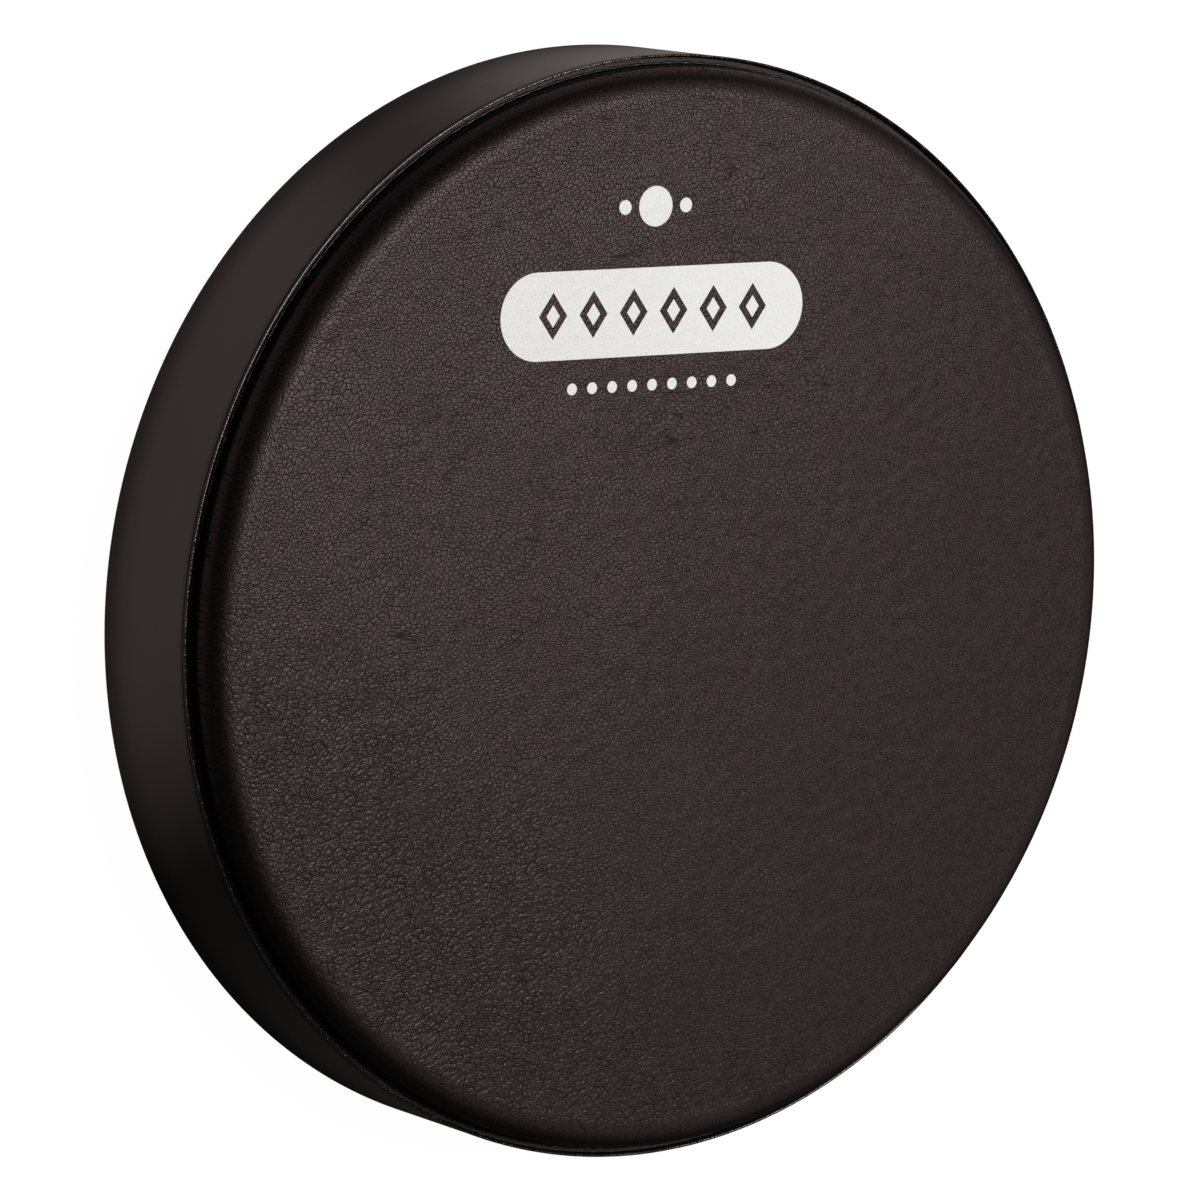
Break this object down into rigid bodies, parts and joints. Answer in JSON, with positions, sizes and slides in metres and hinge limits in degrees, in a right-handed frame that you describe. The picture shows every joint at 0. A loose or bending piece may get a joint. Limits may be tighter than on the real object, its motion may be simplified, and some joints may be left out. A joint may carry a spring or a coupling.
{
  "type": "frame drum",
  "caption": "Shallow round frame drum, open at the back, with a grained head bonded over a satin-covered shell.",
  "frame": {"origin": "centre of the open back, in the plane of the shell's back edge, which the drum rests on", "axes": "+Z along the drum's axis from the open back to the head; +Y towards the top of the printed mark on the head; +X to the right of the mark when the head is looked at"},
  "size_m": [0.3048, 0.3048, 0.0508],
  "materials": {
    "skin": "dark grey-brown synthetic leather with a pebbled grain and low gloss",
    "base_film": "translucent milky polyester film, seen only from the back",
    "cover": "black satin film with a slight warm cast",
    "backer": "dark fibrous backing with a rough cut edge",
    "fibre": "dark resin-filled wood fibre, matt, with visible fibres",
    "glue": "cured dark adhesive",
    "tape": "black woven joining strip"
  },
  "bodies": {
    "root": {"shell_tube": "fibre", "head_base_film": "base_film", "head_skin": "skin", "head_glue_band": "glue", "front_glue_bead": "glue", "cover_film": "cover", "cover_backer": "backer", "cover_seam_strip": "tape"}
  },
  "joints": []
}
